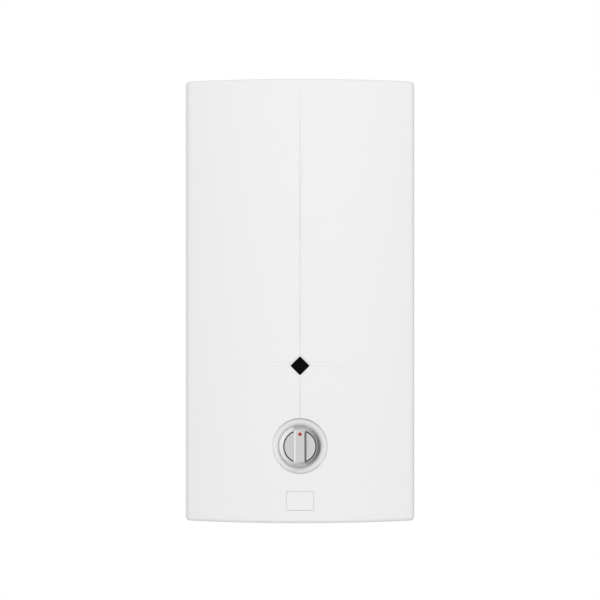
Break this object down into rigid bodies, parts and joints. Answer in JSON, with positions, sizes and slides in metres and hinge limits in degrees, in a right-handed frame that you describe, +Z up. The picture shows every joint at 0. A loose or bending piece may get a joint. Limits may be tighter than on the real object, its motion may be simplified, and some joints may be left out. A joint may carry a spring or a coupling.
{
  "type": "wall-mounted electric water heater",
  "caption": "Slim wall-mounted instantaneous water heater with a bowed, creased front cover, diamond indicator window and rotary power knob.",
  "frame": {"origin": "middle of the four wall fixing holes, on the back plate's rear face, which is the wall's plane", "axes": "+Z up, +Y into the wall, -Y out to the room, +X to the right as seen from the room"},
  "size_m": [0.23, 0.13, 0.44],
  "materials": {
    "white_case": "gloss",
    "back_plate_plastic": "matte",
    "dark_lens": "gloss",
    "white_plate": "satin",
    "knob_silver": "satin",
    "red_plastic": "gloss",
    "zinc_steel": "satin",
    "spring_steel": "gloss",
    "brass": "satin",
    "copper": "satin",
    "element_steel": "satin",
    "black_rubber": "matte",
    "black_moulding": "satin",
    "pale_moulding": "satin",
    "lamp_glass": "gloss",
    "brown_sleeve": "satin",
    "black_sleeve": "satin",
    "grey_sleeve": "satin",
    "green_sleeve": "satin",
    "blue_sleeve": "satin"
  },
  "bodies": {
    "back": {"back_plate": "back_plate_plastic", "black_wires": "black_sleeve", "brown_wires": "brown_sleeve", "bushing_nut": "brass", "cable_grommet": "black_rubber", "clamp_screws": "zinc_steel", "cold_nipple": "brass", "cold_pipe": "copper", "control_wires": "blue_sleeve", "cutout_housing": "black_moulding", "cutout_tabs": "brass", "diaphragm": "black_rubber", "earth_wire": "green_sleeve", "element_flange": "brass", "flange_bolts": "zinc_steel", "flange_gasket_ring": "black_rubber", "flange_nuts": "zinc_steel", "grey_wires": "grey_sleeve", "heating_elements": "element_steel", "hot_nipple": "brass", "hot_pipe": "copper", "inlet_strainer": "spring_steel", "inlet_washer": "black_rubber", "lamp_bracket": "pale_moulding", "lever_bracket": "zinc_steel", "nipple_bracket": "zinc_steel", "pilot_lamp": "lamp_glass", "pivot_pin": "zinc_steel", "plate_screws": "zinc_steel", "plunger_spring": "spring_steel", "selector_body": "black_moulding", "selector_bracket": "zinc_steel", "star_bridge": "brass", "stud_nuts": "brass", "switch_body": "black_moulding", "switch_clamps": "brass", "terminal_block": "pale_moulding", "terminal_clamps": "brass", "union_nuts": "brass", "valve_lower_body": "black_moulding", "valve_screws": "zinc_steel", "valve_spring": "spring_steel", "valve_strip": "zinc_steel", "valve_upper_body": "black_moulding", "vessel": "copper", "vessel_straps": "zinc_steel"},
    "cover": {"front_cover": "white_case", "diamond_window": "dark_lens", "badge_plate": "white_plate", "cover_screws": "zinc_steel"},
    "knob": {"knob": "knob_silver", "knob_dot": "red_plastic", "knob_keeper": "spring_steel"},
    "selector_shaft": {"selector_shaft": "zinc_steel"},
    "pusher": {"pusher": "pale_moulding"},
    "rocker": {"rocker_lever": "zinc_steel", "adjusting_screw": "zinc_steel"},
    "switch_plunger": {"switch_plunger": "pale_moulding"},
    "reset_button": {"reset_button": "red_plastic"}
  },
  "joints": [
    {"name": "cover_release", "type": "slide", "parent": "back", "child": "cover", "axis": [0, -1, 0], "range_m": [0, 0.16]},
    {"name": "knob_turn", "type": "hinge", "parent": "cover", "child": "knob", "pos_m": [0, -0.127, -0.1426], "axis": [0, 1, 0], "range_deg": [-60, 60]},
    {"name": "selector_turn", "type": "hinge", "parent": "back", "child": "selector_shaft", "pos_m": [0, -0.09, -0.1426], "axis": [0, 1, 0], "range_deg": [-60, 60]},
    {"name": "pusher_lift", "type": "slide", "parent": "back", "child": "pusher", "axis": [0, 0, 1], "range_m": [0, 0.0025], "stiffness_N_per_m": 1500, "deforming": ["valve_spring"]},
    {"name": "rocker_tilt", "type": "hinge", "parent": "back", "child": "rocker", "pos_m": [0.09, -0.045, -0.0945], "axis": [0, 1, 0], "range_deg": [0, 3.6]},
    {"name": "plunger_lift", "type": "slide", "parent": "back", "child": "switch_plunger", "axis": [0, 0, 1], "range_m": [0, 0.0041], "deforming": ["plunger_spring"]},
    {"name": "reset_press", "type": "slide", "parent": "back", "child": "reset_button", "axis": [0, 1, 0], "range_m": [0, 0.0012], "stiffness_N_per_m": 800}
  ],
  "couplings": [
    {"joint": "selector_turn", "follows": "knob_turn", "ratio": 1},
    {"joint": "rocker_tilt", "follows": "pusher_lift", "rad_per_m": 25},
    {"joint": "plunger_lift", "follows": "pusher_lift", "ratio": 1.6}
  ]
}
